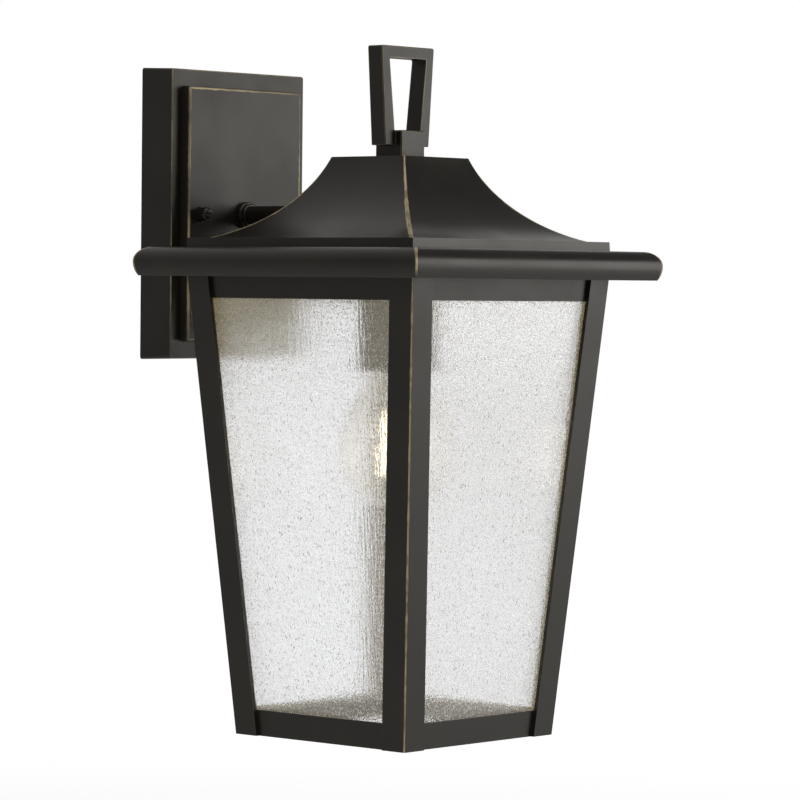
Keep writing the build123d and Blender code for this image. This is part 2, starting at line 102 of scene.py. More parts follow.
camera_data = bpy.data.cameras.new("camera")
camera_data.sensor_width = film_width
camera_data.lens = film_width * focal_pixels / picture_pixels
camera = bpy.data.objects.new("camera", camera_data)
bpy.context.collection.objects.link(camera)
aim = lantern_axis + Vector((0, 0, view_height))
spot = aim - forward * view_distance + level_right * view_aside
axes = Matrix((camera_right, camera_up, -forward)).transposed().to_4x4()
camera.matrix_world = Matrix.Translation(spot) @ axes
bpy.context.scene.camera = camera
bpy.context.scene.view_settings.view_transform = "Standard"
print("camera at", tuple(round(v, 4) for v in spot), "lens", round(camera_data.lens, 1))

# %% [markdown]
# Every finish below is a node tree. Written out, a tree takes a line for each
# node and each link, so small helpers do that work: the first adds a node and
# fills its inputs with values or links, the others wrap nodes that come up often.

# %% Node helpers
# A mix node has sockets for every type of value, so those for colours go by number.
MIX_MASK = 0
MIX_UNDER = 6
MIX_OVER = 7
MIX_COLOUR = 2


def put(tree, kind, inputs=None, **settings):
    """Adds a node; an input takes a value, or a link when it is given a socket."""
    node = tree.nodes.new(kind)
    for name, value in settings.items():
        setattr(node, name, value)
    for name, value in (inputs or {}).items():
        if isinstance(value, bpy.types.NodeSocket):
            tree.links.new(value, node.inputs[name])
        else:
            node.inputs[name].default_value = value
    return node


def calc(tree, operation, first, second=0.0, third=0.0):
    """The result socket of one sum."""
    return put(tree, "ShaderNodeMath", {0: first, 1: second, 2: third}, operation=operation).outputs[0]


def vector_calc(tree, operation, first, second, output="Vector"):
    """The result socket of one sum of two vectors."""
    return put(tree, "ShaderNodeVectorMath", {0: first, 1: second}, operation=operation).outputs[output]


def ramp(tree, value, start, end, low=0.0, high=1.0, **settings):
    """A step from low at start to high at end, smooth unless it is told otherwise."""
    settings = settings or {"interpolation_type": "SMOOTHSTEP"}
    ends = {"Value": value, "From Min": start, "From Max": end, "To Min": low, "To Max": high}
    return put(tree, "ShaderNodeMapRange", ends, **settings).outputs["Result"]


def tint(tree, mask, under, over):
    """Two colours mixed by a mask."""
    colours = {MIX_MASK: mask, MIX_UNDER: under, MIX_OVER: over}
    return put(tree, "ShaderNodeMix", colours, data_type="RGBA").outputs[MIX_COLOUR]


def own_place(tree):
    """The object's own coordinates, so that a pattern stays on a piece that moves."""
    return put(tree, "ShaderNodeTexCoord").outputs["Object"]


def along_axes(tree, vector):
    """The X, Y and Z of a vector."""
    return put(tree, "ShaderNodeSeparateXYZ", {0: vector}).outputs


def cloud(tree, place, scale, detail=2.0):
    """A soft noise value at a place."""
    noise = put(tree, "ShaderNodeTexNoise", {"Vector": place, "Scale": scale, "Detail": detail})
    return noise.outputs["Fac"]


def stretched(tree, place, factors):
    """A place scaled along its axes, to draw a pattern out."""
    return vector_calc(tree, "MULTIPLY", place, factors)


def emboss(tree, shader, height, strength, distance):
    """Leads a height through a bump into a shader's normal."""
    bump = put(tree, "ShaderNodeBump", {"Height": height, "Strength": strength, "Distance": distance})
    tree.links.new(bump.outputs["Normal"], shader.inputs["Normal"])


def new_finish(name):
    """An empty material with its node tree and its shader."""
    material = bpy.data.materials.new(name)
    material.use_nodes = True
    tree = material.node_tree
    return material, tree, tree.nodes["Principled BSDF"]


print("node helpers ready")

# %% [markdown]
# The studio is a pale floor under the hanging lantern, with white paper behind.
# The floor glows a little for rays that look at it, more so far away, so that it
# runs into the paper without a line and still takes the lantern's shadow. From
# below it is clear, or it would hide the lantern in low views.

# %% Floor
floor_drop = 0.30
floor_reach = 12.0
floor_z = cad_box[0].z - floor_drop
floor_shade = (0.8, 0.8, 0.8, 1)
floor_roughness = 0.9
glow_near = 0.42
glow_far = 0.70
glow_starts = 1.0
glow_ends = 3.5

floor_mesh = bpy.data.meshes.new("studio_floor")
corners = [(-1, -1), (1, -1), (1, 1), (-1, 1)]
floor_mesh.from_pydata([(x * floor_reach, y * floor_reach, floor_z) for x, y in corners], [], [(0, 1, 2, 3)])
floor = bpy.data.objects.new("studio_floor", floor_mesh)
bpy.context.collection.objects.link(floor)

floor_finish, tree, shader = new_finish("studio_paper")
shader.inputs["Base Color"].default_value = floor_shade
shader.inputs["Roughness"].default_value = floor_roughness
away = vector_calc(tree, "DISTANCE", own_place(tree), lantern_axis, "Value")
paper_glow = ramp(tree, away, glow_starts, glow_ends, glow_near, glow_far)
looks = put(tree, "ShaderNodeLightPath").outputs
seen = calc(tree, "MAXIMUM", looks["Is Camera Ray"], looks["Is Transmission Ray"])
white = put(tree, "ShaderNodeEmission", {"Strength": calc(tree, "MULTIPLY", seen, paper_glow)})
lit = put(tree, "ShaderNodeAddShader", {0: shader.outputs[0], 1: white.outputs[0]})
below = put(tree, "ShaderNodeNewGeometry").outputs["Backfacing"]
clear = put(tree, "ShaderNodeBsdfTransparent")
sided = put(tree, "ShaderNodeMixShader", {0: below, 1: lit.outputs[0], 2: clear.outputs[0]})
tree.links.new(sided.outputs[0], tree.nodes["Material Output"].inputs["Surface"])
floor_mesh.materials.append(floor_finish)
print("floor at", round(floor_z, 3))

# %% [markdown]
# The world is the white paper. It is white only for the rays that look at it, that
# mirror it from behind the lantern or that pass through the glass. For all other
# rays it is dim, so the paper never floods the dark bronze with light.

# %% White paper
room_light = 0.45
room_gloss = 0.16
paper_heading = Vector((0.10, 0.97, 0.20)).normalized()
paper_edge = 0.50
paper_middle = 1.15

world = bpy.data.worlds.new("studio")
world.use_nodes = True
bpy.context.scene.world = world
tree = world.node_tree
heading = put(tree, "ShaderNodeTexCoord").outputs["Generated"]
facing = vector_calc(tree, "DOT_PRODUCT", heading, paper_heading, "Value")
behind = ramp(tree, facing, paper_edge, paper_middle, room_gloss, 1.0)
looks = put(tree, "ShaderNodeLightPath").outputs
seen = calc(tree, "MAXIMUM", looks["Is Camera Ray"], looks["Is Transmission Ray"])
mirrored = calc(tree, "MULTIPLY", looks["Is Glossy Ray"], behind)
other = calc(tree, "MULTIPLY", calc(tree, "SUBTRACT", 1.0, looks["Is Glossy Ray"]), room_light)
level = calc(tree, "MAXIMUM", calc(tree, "MAXIMUM", seen, mirrored), other)
backdrop = tree.nodes["Background"]
backdrop.inputs["Color"].default_value = (1, 1, 1, 1)
tree.links.new(level, backdrop.inputs["Strength"])
print("paper faces", tuple(round(v, 2) for v in paper_heading))

# %% [markdown]
# The front of the lantern mirrors a tall soft box on the right, which is why it
# looks grey while the left side stays nearly black. A box overhead and a weak one
# high behind give the roof and the rounded moulding their soft highlights, and a
# weak one on the left keeps that side from going fully black.

# %% Soft boxes


def soft_box(name, offset, size, brightness):
    """A rectangular lamp that faces the lantern; brightness is what a mirror would show."""
    lamp = bpy.data.lights.new(name, "AREA")
    lamp.shape = "RECTANGLE"
    lamp.size, lamp.size_y = size
    lamp.energy = brightness * math.pi * size[0] * size[1]
    stand = bpy.data.objects.new(name, lamp)
    bpy.context.collection.objects.link(stand)
    stand.location = aim + Vector(offset)
    stand.rotation_mode = "QUATERNION"
    stand.rotation_quaternion = (-Vector(offset)).to_track_quat("-Z", "Y")
    print("soft box", name, "at", tuple(round(v, 2) for v in stand.location))


soft_box("box_right", offset=(1.9, -1.55, 0.32), size=(1.6, 1.20), brightness=2.6)
soft_box("box_behind", offset=(1.5, 1.2, 1.1), size=(0.9, 0.9), brightness=0.5)
soft_box("box_above", offset=(-0.3, -0.6, 1.7), size=(1.6, 1.6), brightness=1.2)
soft_box("box_left", offset=(-2.2, -0.6, 0.3), size=(1.0, 1.8), brightness=0.5)

# %% [markdown]
# The bronze is a dark satin paint whose edges were rubbed through to a pale gold.
# Rubbing could be painted on by hand, but many pieces share it, so it is made of
# effects that each finish uses with its own values. The first effect finds sharp
# edges: it compares the surface direction with that of a slightly rounded copy.
# Noise breaks the edge into patches, as a hand would.

# %% Rubbed edges
FLOAT = "NodeSocketFloat"
COLOUR = "NodeSocketColor"


def new_group(name, inputs, outputs):
    """An empty effect with named inputs and outputs."""
    group = bpy.data.node_groups.new(name, "ShaderNodeTree")
    for label, kind, default in inputs:
        socket = group.interface.new_socket(label, in_out="INPUT", socket_type=kind)
        socket.default_value = default
    for label, kind in outputs:
        group.interface.new_socket(label, in_out="OUTPUT", socket_type=kind)
    start = group.nodes.new("NodeGroupInput")
    end = group.nodes.new("NodeGroupOutput")
    return group, start.outputs, end.inputs


def use_group(tree, group, **inputs):
    """Places an effect in a finish with its own values."""
    labelled = {label.replace("_", " "): value for label, value in inputs.items()}
    return put(tree, "ShaderNodeGroup", labelled, node_tree=group).outputs


flat_agreement = 0.985
edge_agreement = 0.88
patch_scale = 45.0
patch_share = 0.75

edge_rub, given, result = new_group(
    "edge_rub", [("width", FLOAT, 0.001), ("amount", FLOAT, 0.5)], [("mask", FLOAT)]
)
rounded = put(edge_rub, "ShaderNodeBevel", {"Radius": given["width"]}, samples=6).outputs["Normal"]
straight = put(edge_rub, "ShaderNodeNewGeometry").outputs["Normal"]
agree = vector_calc(edge_rub, "DOT_PRODUCT", rounded, straight, "Value")
edge = ramp(edge_rub, agree, flat_agreement, edge_agreement)
patches = ramp(edge_rub, cloud(edge_rub, own_place(edge_rub), patch_scale), 0.38, 0.62)
kept = calc(edge_rub, "MULTIPLY_ADD", patches, patch_share, 1 - patch_share)
broken = calc(edge_rub, "MULTIPLY", edge, kept)
edge_rub.links.new(calc(edge_rub, "MULTIPLY", broken, given["amount"]), result["mask"])
print("effect:", edge_rub.name)

# %% [markdown]
# The strong gold lines run along the roof hips, the moulding mitres and the post
# corners. They could be thin strips of their own, but paint that is rubbed through
# has no thickness. All of these edges lie on the two diagonals of the square plan,
# so a second effect measures how far a point is from a diagonal. A line has one
# width at its top and another at its foot, and noise lets it wander and break.

# %% Rubbed diagonals
line_wander_scale = 160.0
line_wander_stretch = (1.0, 1.0, 0.5)
line_gap_scale = 150.0

diagonal_rub, given, result = new_group(
    "diagonal_rub",
    [("top", FLOAT, 0.0), ("top width", FLOAT, 0.001), ("foot", FLOAT, -1.0), ("foot width", FLOAT, 0.001),
     ("amount", FLOAT, 1.0)],
    [("mask", FLOAT)],
)
place = own_place(diagonal_rub)
centred = along_axes(diagonal_rub, vector_calc(diagonal_rub, "SUBTRACT", place, lantern_axis))
side = calc(diagonal_rub, "ABSOLUTE", centred["X"])
depth = calc(diagonal_rub, "ABSOLUTE", centred["Y"])
apart = calc(diagonal_rub, "ABSOLUTE", calc(diagonal_rub, "SUBTRACT", side, depth))
width = ramp(
    diagonal_rub, centred["Z"], given["top"], given["foot"], given["top width"], given["foot width"],
    interpolation_type="LINEAR",
)
wander = cloud(diagonal_rub, stretched(diagonal_rub, place, line_wander_stretch), line_wander_scale)
reach = calc(diagonal_rub, "MULTIPLY", width, calc(diagonal_rub, "MULTIPLY_ADD", wander, 1.3, 0.10))
line = ramp(diagonal_rub, calc(diagonal_rub, "DIVIDE", apart, reach), 1.1, 0.8)
surface = put(diagonal_rub, "ShaderNodeNewGeometry").outputs["Normal"]
not_under = ramp(diagonal_rub, along_axes(diagonal_rub, surface)["Z"], -0.5, -0.2)
above_foot = calc(diagonal_rub, "GREATER_THAN", centred["Z"], given["foot"])
gaps = ramp(diagonal_rub, cloud(diagonal_rub, place, line_gap_scale), 0.34, 0.60, 0.50, 1.0)
shown = given["amount"]
for mask in (line, not_under, gaps, above_foot):
    shown = calc(diagonal_rub, "MULTIPLY", shown, mask)
diagonal_rub.links.new(shown, result["mask"])
print("effect:", diagonal_rub.name)

# %% [markdown]
# On the backplate only the rims of the front faces are rubbed. The effect for edges
# would rub the rims near the wall just as much, so a third effect measures how far
# a point is from the rim of a front face, which is a plain rectangle.

# %% Rubbed front rims
front_wander_scale = 180.0
front_gap_scale = 26.0

front_rub, given, result = new_group(
    "front_rub",
    [("front", FLOAT, 0.0), ("half width", FLOAT, 0.1), ("half height", FLOAT, 0.1), ("width", FLOAT, 0.001),
     ("amount", FLOAT, 1.0)],
    [("mask", FLOAT)],
)
place = own_place(front_rub)
point = along_axes(front_rub, place)
back = calc(front_rub, "SUBTRACT", point["Y"], given["front"])
aside = calc(front_rub, "SUBTRACT", calc(front_rub, "ABSOLUTE", point["X"]), given["half width"])
over = calc(front_rub, "SUBTRACT", calc(front_rub, "ABSOLUTE", point["Z"]), given["half height"])
back_squared = calc(front_rub, "MULTIPLY", back, back)
to_upright = calc(front_rub, "MULTIPLY_ADD", aside, aside, back_squared)
to_level = calc(front_rub, "MULTIPLY_ADD", over, over, back_squared)
near = calc(front_rub, "SQRT", calc(front_rub, "MINIMUM", to_upright, to_level))
wander = cloud(front_rub, place, front_wander_scale)
reach = calc(front_rub, "MULTIPLY", given["width"], calc(front_rub, "MULTIPLY_ADD", wander, 1.2, 0.2))
line = ramp(front_rub, calc(front_rub, "DIVIDE", near, reach), 1.2, 0.7)
gaps = ramp(front_rub, cloud(front_rub, place, front_gap_scale), 0.36, 0.56, 0.3, 1.0)
shown = calc(front_rub, "MULTIPLY", line, gaps)
front_rub.links.new(calc(front_rub, "MULTIPLY", shown, given["amount"]), result["mask"])
print("effect:", front_rub.name)

# %% [markdown]
# The paint itself is not one even colour: broad patches are warmer and duller,
# fine flecks are duller too, and the coat has a faint skin like that of an orange.
# A fourth effect holds all of that, so every bronze has the same paint.

# %% Satin paint
mottle_scale = 28.0
fleck_scale = 900.0
peel_scale = 1400.0
mottle_dulling = 0.08
fleck_dulling = 0.06

satin_paint, given, result = new_group(
    "satin_paint",
    [("dark", COLOUR, (0, 0, 0, 1)), ("warm", COLOUR, (0, 0, 0, 1)), ("roughness", FLOAT, 0.4)],
    [("colour", COLOUR), ("roughness", FLOAT), ("height", FLOAT)],
)
place = own_place(satin_paint)
mottle = ramp(satin_paint, cloud(satin_paint, place, mottle_scale, detail=4.0), 0.3, 0.75)
fleck = ramp(satin_paint, cloud(satin_paint, place, fleck_scale, detail=1.0), 0.6, 0.8)
satin_paint.links.new(tint(satin_paint, mottle, given["dark"], given["warm"]), result["colour"])
uneven = calc(satin_paint, "MULTIPLY_ADD", mottle, mottle_dulling, given["roughness"])
satin_paint.links.new(calc(satin_paint, "MULTIPLY_ADD", fleck, fleck_dulling, uneven), result["roughness"])
satin_paint.links.new(cloud(satin_paint, place, peel_scale), result["height"])
print("effect:", satin_paint.name)

# %% [markdown]
# One recipe makes the bronze of all pieces. The roof, the cage and the backplate
# differ only in their gloss and in their rubbed lines, so each is the same recipe
# with its own values. The cup round the lamp holder is the same paint gone matt,
# because it stands in the shade and mirrors next to nothing.

# %% Rubbed bronze
bronze_dark = (0.0065, 0.0052, 0.0036, 1)
bronze_warm = (0.0120, 0.0092, 0.0060, 1)
bronze_sheen = (1.0, 0.95, 0.87, 1)
rubbed_gold = (0.400, 0.320, 0.185, 1)
gold_metal = 0.25
line_inset = 0.0008
rim_height = 0.005
far_below = -1.0
matt_specular = 0.2


def rubbed_bronze(name, roughness, edge_width, edge_amount, line_effect=None, **line_values):
    """Dark satin bronze with gold along its edges, and along the lines of a second effect."""
    material, tree, shader = new_finish(name)
    paint = use_group(tree, satin_paint, dark=bronze_dark, warm=bronze_warm, roughness=roughness)
    rubbed = use_group(tree, edge_rub, width=edge_width, amount=edge_amount)["mask"]
    if line_effect:
        lines = use_group(tree, line_effect, **line_values)
        rubbed = calc(tree, "MAXIMUM", lines["mask"], rubbed)
    tree.links.new(tint(tree, rubbed, paint["colour"], rubbed_gold), shader.inputs["Base Color"])
    tree.links.new(calc(tree, "MULTIPLY", rubbed, gold_metal), shader.inputs["Metallic"])
    tree.links.new(paint["roughness"], shader.inputs["Roughness"])
    shader.inputs["Specular Tint"].default_value = bronze_sheen
    emboss(tree, shader, paint["height"], strength=0.05, distance=0.0004)
    return material


def even_lines(width):
    """The values that draw diagonal lines of one width from top to foot."""
    return {"top": 0.0, "top_width": width, "foot": far_below, "foot_width": width}


def front_lines(node, width):
    """The values that draw a rubbed line round a node's front face."""
    low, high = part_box(node)
    return {
        "front": low.y,
        "half_width": high.x - line_inset,
        "half_height": high.z - line_inset,
        "width": width,
    }


roof_low, roof_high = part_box("roof_shell")
hip_lines = {"top": roof_high.z, "top_width": 0.0008, "foot": roof_low.z + rim_height, "foot_width": 0.0025}
roof_bronze = rubbed_bronze(
    "rubbed_bronze_roof", roughness=0.27, edge_width=0.0005, edge_amount=0.12,
    line_effect=diagonal_rub, amount=1.0, **hip_lines,
)
moulding_bronze = rubbed_bronze(
    "rubbed_bronze_moulding", roughness=0.30, edge_width=0.0004, edge_amount=0.08,
    line_effect=diagonal_rub, amount=1.0, **even_lines(0.0014),
)
cage_bronze = rubbed_bronze(
    "rubbed_bronze_cage", roughness=0.33, edge_width=0.0004, edge_amount=0.12,
    line_effect=diagonal_rub, amount=1.0, **even_lines(0.0009),
)
pan_bronze = rubbed_bronze(
    "rubbed_bronze_pan", roughness=0.36, edge_width=0.0003, edge_amount=0.1,
    line_effect=front_rub, amount=0.7, **front_lines("backplate_pan", 0.0007),
)
plate_bronze = rubbed_bronze(
    "rubbed_bronze_plate", roughness=0.37, edge_width=0.0003, edge_amount=0.1,
    line_effect=front_rub, amount=1.0, **front_lines("raised_plate", 0.0012),
)
finial_bronze = rubbed_bronze("rubbed_bronze_finial", roughness=0.33, edge_width=0.0011, edge_amount=0.75)
fitting_bronze = rubbed_bronze("rubbed_bronze_fittings", roughness=0.30, edge_width=0.0003, edge_amount=0.15)
cup_bronze = rubbed_bronze("matt_bronze_cup", roughness=0.60, edge_width=0.0003, edge_amount=0.10)
cup_bronze.node_tree.nodes["Principled BSDF"].inputs["Specular IOR Level"].default_value = matt_specular
print("bronzes:", [material.name for material in bpy.data.materials if "bronze" in material.name])

# %% [markdown]
# Seeded glass is a clear sheet full of tiny trapped bubbles, called seeds. They
# could be modelled one by one, but there are tens of thousands. Instead an effect
# marks a share of the cells of a lattice. The lattice is slanted: on an upright
# one the leaning panes would cut through layer after layer and show bands.

# %% Glass seeds
seed_stretch = (1.0, 1.0, 0.6)
lattice_slant = (0.7, 0.5, 0.4)
seed_edge = 0.45
seed_core = 0.25

glass_seeds, given, result = new_group(
    "glass_seeds", [("size", FLOAT, 0.001), ("share", FLOAT, 0.5)], [("mask", FLOAT)]
)
long_seeds = stretched(glass_seeds, own_place(glass_seeds), seed_stretch)
lean = {"Vector": long_seeds, "Rotation": lattice_slant}
slanted = put(glass_seeds, "ShaderNodeVectorRotate", lean, rotation_type="EULER_XYZ").outputs[0]
spacing = calc(glass_seeds, "DIVIDE", 1.0, given["size"])
cells = put(glass_seeds, "ShaderNodeTexVoronoi", {"Vector": slanted, "Scale": spacing}, feature="F1").outputs
drawn_lot = put(glass_seeds, "ShaderNodeSeparateColor", {0: cells["Color"]}).outputs[0]
present = calc(glass_seeds, "LESS_THAN", drawn_lot, given["share"])
bead = ramp(glass_seeds, cells["Distance"], seed_edge, seed_core)
glass_seeds.links.new(calc(glass_seeds, "MULTIPLY", bead, present), result["mask"])
print("effect:", glass_seeds.name)

# %% [markdown]
# Seeds of two sizes leave dark specks, because a bubble turns the light behind it
# aside. Seeds of a third size are frosted and scatter it into pale specks. A wave
# that is drawn out upright bends the view sideways, a fine grain breaks up the
# edges of what stands behind, and a trace of warm emission stands for the lamp's
# light in the seeds. Lamps shine through: rays that ask for shadow find clear air.

# %% Seeded glass
clear_sheet = (0.838, 0.856, 0.902, 1)
seed_shade = (0.30, 0.30, 0.30, 1)
frost_shade = (0.752, 0.768, 0.800, 1)
sheet_clearness = 0.91
sheet_roughness = 0.02
frost_roughness = 0.45
seed_glow = (1.0, 0.76, 0.25, 1)
seed_glow_strength = 0.037
glass_index = 1.45
wave_stretch = (700.0, 700.0, 20.0)
grain_scale = 900.0
grain_share = 0.45
wave_height = 0.00022


def see_through(tree, shader):
    """Lets lamps shine through a glass finish."""
    looks = put(tree, "ShaderNodeLightPath").outputs
    clear = put(tree, "ShaderNodeBsdfTransparent")
    either = {0: looks["Is Shadow Ray"], 1: shader.outputs[0], 2: clear.outputs[0]}
    passed = put(tree, "ShaderNodeMixShader", either)
    tree.links.new(passed.outputs[0], tree.nodes["Material Output"].inputs["Surface"])


seeded_glass, tree, shader = new_finish("seeded_glass")
shader.inputs["Transmission Weight"].default_value = sheet_clearness
# painted glow: the whole pane glows faintly warm, standing for the lamp's light caught in its seeds
shader.inputs["Emission Color"].default_value = seed_glow
shader.inputs["Emission Strength"].default_value = seed_glow_strength
shader.inputs["IOR"].default_value = glass_index
fine = use_group(tree, glass_seeds, size=0.0007, share=0.15)["mask"]
coarse = use_group(tree, glass_seeds, size=0.0013, share=0.06)["mask"]
frosted = use_group(tree, glass_seeds, size=0.00085, share=0.42)["mask"]
sheet = tint(tree, calc(tree, "MAXIMUM", fine, coarse), clear_sheet, seed_shade)
tree.links.new(tint(tree, frosted, sheet, frost_shade), shader.inputs["Base Color"])
place = own_place(tree)
wave = cloud(tree, stretched(tree, place, wave_stretch), scale=1.0, detail=4.0)
grain = cloud(tree, place, grain_scale, detail=1.0)
height = calc(tree, "MULTIPLY_ADD", grain, grain_share, wave)
emboss(tree, shader, height, strength=0.5, distance=wave_height)
smooth = calc(tree, "MULTIPLY_ADD", wave, sheet_roughness, sheet_roughness)
tree.links.new(calc(tree, "MULTIPLY_ADD", frosted, frost_roughness, smooth), shader.inputs["Roughness"])
see_through(tree, shader)
print("glass made:", seeded_glass.name)

# %% [markdown]
# The lamp is a clear household bulb. Its glass is thin and smooth, four upright
# sticks inside it glow, and its metal cap is plated. The sticks are lit by their
# own shader: a lamp object for each would glow from nowhere once the model is
# used in another scene. The bulb's glass is given a faint painted glow of their light.

# %% Bulb finishes
bulb_glow = (1.0, 0.75, 0.40, 1)
bulb_glow_strength = 0.006
stick_glow_strength = 7.0
stick_cool = (1.0, 0.74, 0.44, 1)
stick_hot = (1.0, 0.86, 0.62, 1)


def ripple(tree, shader, scale, smoothest, roughest):
    """Lets the roughness of a glass wander between two values."""
    wander = ramp(tree, cloud(tree, own_place(tree), scale), 0.3, 0.7, smoothest, roughest)
    tree.links.new(wander, shader.inputs["Roughness"])


bulb_glass, tree, shader = new_finish("bulb_clear_glass")
shader.inputs["Base Color"].default_value = (1.0, 0.99, 0.97, 1)
shader.inputs["Transmission Weight"].default_value = 1.0
# painted glow: the bulb's glass glows faintly, standing for the sticks' light in it
shader.inputs["Emission Color"].default_value = bulb_glow
shader.inputs["Emission Strength"].default_value = bulb_glow_strength
shader.inputs["IOR"].default_value = glass_index
ripple(tree, shader, scale=60.0, smoothest=0.0, roughest=0.04)
see_through(tree, shader)

stem_glass, tree, shader = new_finish("bulb_stem_glass")
shader.inputs["Base Color"].default_value = (0.93, 0.95, 0.94, 1)
shader.inputs["Transmission Weight"].default_value = 0.8
ripple(tree, shader, scale=180.0, smoothest=0.05, roughest=0.2)
see_through(tree, shader)

glow_stick, tree, shader = new_finish("glowing_stick")
shader.inputs["Base Color"].default_value = (0.85, 0.68, 0.32, 1)
shader.inputs["Roughness"].default_value = 0.5
shader.inputs["Emission Strength"].default_value = stick_glow_strength
heat = ramp(tree, cloud(tree, own_place(tree), 400.0), 0.2, 0.8)
tree.links.new(tint(tree, heat, stick_cool, stick_hot), shader.inputs["Emission Color"])
print("bulb finishes:", bulb_glass.name, stem_glass.name, glow_stick.name)

# %% [markdown]
# The hidden hardware is zinc plated steel and brass, and the bulb's cap is a bright
# plated sheet. All three show a crystal mottle, stains and fine handling scratches,
# so that is one effect. A scratched picture could be laid on them instead, but it
# would need a map for each piece.

# %% Plated metals
crystal_scale = 320.0
stain_scale = 70.0
stain_shade = (0.12, 0.11, 0.09, 1)
scratch_stretch = (40.0, 40.0, 1500.0)
scratch_dulling = 0.25
stain_dulling = 0.15

plating, given, result = new_group(
    "plating", [("colour", COLOUR, (1, 1, 1, 1)), ("roughness", FLOAT, 0.3)],
    [("colour", COLOUR), ("roughness", FLOAT), ("height", FLOAT)],
)
place = own_place(plating)
crystals = put(plating, "ShaderNodeTexVoronoi", {"Vector": place, "Scale": crystal_scale}, feature="F1")
facet = put(plating, "ShaderNodeSeparateColor", {0: crystals.outputs["Color"]}).outputs[0]
brightness = ramp(plating, facet, 0.0, 1.0, 0.85, 1.1)
shade = put(plating, "ShaderNodeHueSaturation", {"Color": given["colour"], "Value": brightness})
stain = cloud(plating, place, stain_scale, detail=4.0)
stained = ramp(plating, stain, 0.5, 0.8, 0.0, 0.5)
plating.links.new(tint(plating, stained, shade.outputs["Color"], stain_shade), result["colour"])
scratches = cloud(plating, stretched(plating, place, scratch_stretch), scale=1.0, detail=3.0)
worn = calc(plating, "MULTIPLY_ADD", scratches, scratch_dulling, given["roughness"])
plating.links.new(calc(plating, "MULTIPLY_ADD", stain, stain_dulling, worn), result["roughness"])
plating.links.new(scratches, result["height"])


def plated(name, colour, roughness):
    """A plated metal finish."""
    material, tree, shader = new_finish(name)
    coat = use_group(tree, plating, colour=colour, roughness=roughness)
    tree.links.new(coat["colour"], shader.inputs["Base Color"])
    tree.links.new(coat["roughness"], shader.inputs["Roughness"])
    shader.inputs["Metallic"].default_value = 1.0
    emboss(tree, shader, coat["height"], strength=0.08, distance=0.0002)
    return material


zinc_steel = plated("zinc_plated_steel", (0.58, 0.58, 0.55, 1), roughness=0.22)
lamp_brass = plated("lamp_brass", (0.72, 0.50, 0.22, 1), roughness=0.18)
cap_metal = plated("bulb_cap_metal", (0.74, 0.73, 0.70, 1), roughness=0.16)
print("metals:", zinc_steel.name, lamp_brass.name, cap_metal.name)

# %% [markdown]
# The lamp holder's ceramic, the green lacquer of the earthing screw and the dark
# glass of the bulb's cap are solid colours with a slight haze and small specks.
# One recipe makes all three.

# %% Ceramic, lacquer and insulator
dot_scale = 650.0
haze_scale = 45.0
haze_share = 0.35
dot_share = 0.5
haze_dulling = 0.2


def speckled(name, base, speck, roughness):
    """A dull solid finish with a haze and small specks."""
    material, tree, shader = new_finish(name)
    place = own_place(tree)
    dots = ramp(tree, cloud(tree, place, dot_scale), 0.58, 0.70)
    haze = cloud(tree, place, haze_scale, detail=3.0)
    mottled = tint(tree, calc(tree, "MULTIPLY", haze, haze_share), base, speck)
    dotted = tint(tree, calc(tree, "MULTIPLY", dots, dot_share), mottled, speck)
    tree.links.new(dotted, shader.inputs["Base Color"])
    tree.links.new(calc(tree, "MULTIPLY_ADD", haze, haze_dulling, roughness), shader.inputs["Roughness"])
    emboss(tree, shader, haze, strength=0.1, distance=0.0003)
    return material


holder_ceramic = speckled(
    "holder_ceramic", base=(0.78, 0.76, 0.71, 1), speck=(0.60, 0.56, 0.48, 1), roughness=0.18
)
green_lacquer = speckled(
    "ground_screw_green", base=(0.03, 0.22, 0.07, 1), speck=(0.02, 0.12, 0.04, 1), roughness=0.25
)
cap_insulator = speckled(
    "cap_insulator", base=(0.02, 0.018, 0.022, 1), speck=(0.05, 0.04, 0.05, 1), roughness=0.12
)
print("solid finishes:", holder_ceramic.name, green_lacquer.name, cap_insulator.name)

# %% [markdown]
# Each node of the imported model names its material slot. A short table turns slots
# into finishes, and the bronze pieces choose among the bronzes by name.

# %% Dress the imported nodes
finishes = {
    "seeded_glass": seeded_glass,
    "zinc_steel": zinc_steel,
    "green_screw": green_lacquer,
    "lamp_brass": lamp_brass,
    "lamp_cap_metal": cap_metal,
    "holder_ceramic": holder_ceramic,
    "bulb_glass": bulb_glass,
    "bulb_stem_glass": stem_glass,
    "cap_insulator": cap_insulator,
    "filament_wire": glow_stick,
}
bronze_places = {
    "roof_shell": roof_bronze,
    "moulding": moulding_bronze,
    "post": cage_bronze,
    "top_rail": cage_bronze,
    "bottom_rail": cage_bronze,
    "backplate_pan": pan_bronze,
    "raised_plate": plate_bronze,
    "finial": finial_bronze,
    "socket_cup": cup_bronze,
}


def bronze_of(name):
    """The bronze of a node, by the piece it belongs to."""
    for piece, finish in bronze_places.items():
        if name.startswith(piece):
            return finish
    return fitting_bronze


slot_of = {part["node"]: part["material_slot"] for part in frame["record"]["subparts"]}
for name, node in nodes.items():
    node.data.materials.clear()
    node.data.materials.append(finishes.get(slot_of[name]) or bronze_of(name))
print("dressed:", len(nodes))

# %% [markdown]
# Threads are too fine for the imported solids, so the pieces that carry one are
# made again here, in the same place. A thread could be a profile swept along a
# helix, but then its turns have to be joined to the core. Here a turned skin is
# pressed in by a groove that climbs one pitch per turn, which gives a true screw
# in one closed skin.

# %% Turned skins
crease_angle = math.radians(40)


def sharp_groove(turn):
    """A cut thread, from 0 on the crest to 1 in the root."""
    return 1 - abs(2 * turn - 1)


def round_groove(turn):
    """A thread rolled into sheet, from 0 on the crest to 1 in the root."""
    return 0.5 - 0.5 * math.cos(2 * math.pi * turn)


